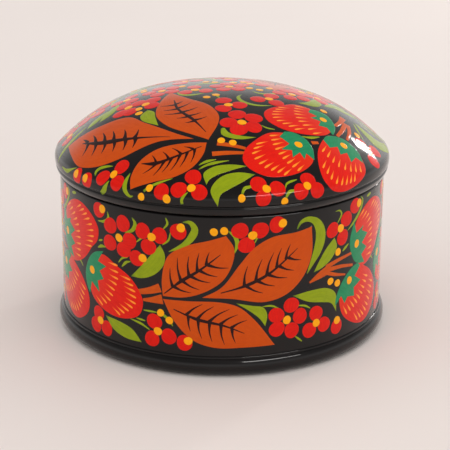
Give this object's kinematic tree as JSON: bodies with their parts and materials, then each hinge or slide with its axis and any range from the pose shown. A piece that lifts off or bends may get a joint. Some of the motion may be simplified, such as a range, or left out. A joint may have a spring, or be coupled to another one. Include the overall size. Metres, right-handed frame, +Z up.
{
  "type": "round lidded box",
  "caption": "Round turned wooden box with a half-round foot bead and a lift-off domed lid, lacquered and painted all round with leaves, berries and strawberries.",
  "frame": {"origin": "centre of the base, on the surface that the box stands on", "axes": "+Z up along the turning axis; -Y towards the side with the largest group of painted leaves, which is the side to show; +X to its right"},
  "size_m": [0.15, 0.15, 0.1067],
  "materials": {
    "black_lacquer": "gloss",
    "red_lacquer": "gloss",
    "leaf_orange": "gloss",
    "vein_brown": "gloss",
    "berry_red": "gloss",
    "seed_gold": "gloss",
    "dot_yellow": "gloss",
    "foliage_green": "gloss",
    "calyx_green": "gloss"
  },
  "bodies": {
    "body": {"box_body": "black_lacquer"},
    "lid": {"lid": "black_lacquer"}
  },
  "joints": [
    {"name": "lid_lift", "type": "slide", "parent": "body", "child": "lid", "axis": [0, 0, 1], "range_m": [0, 0.08]}
  ]
}
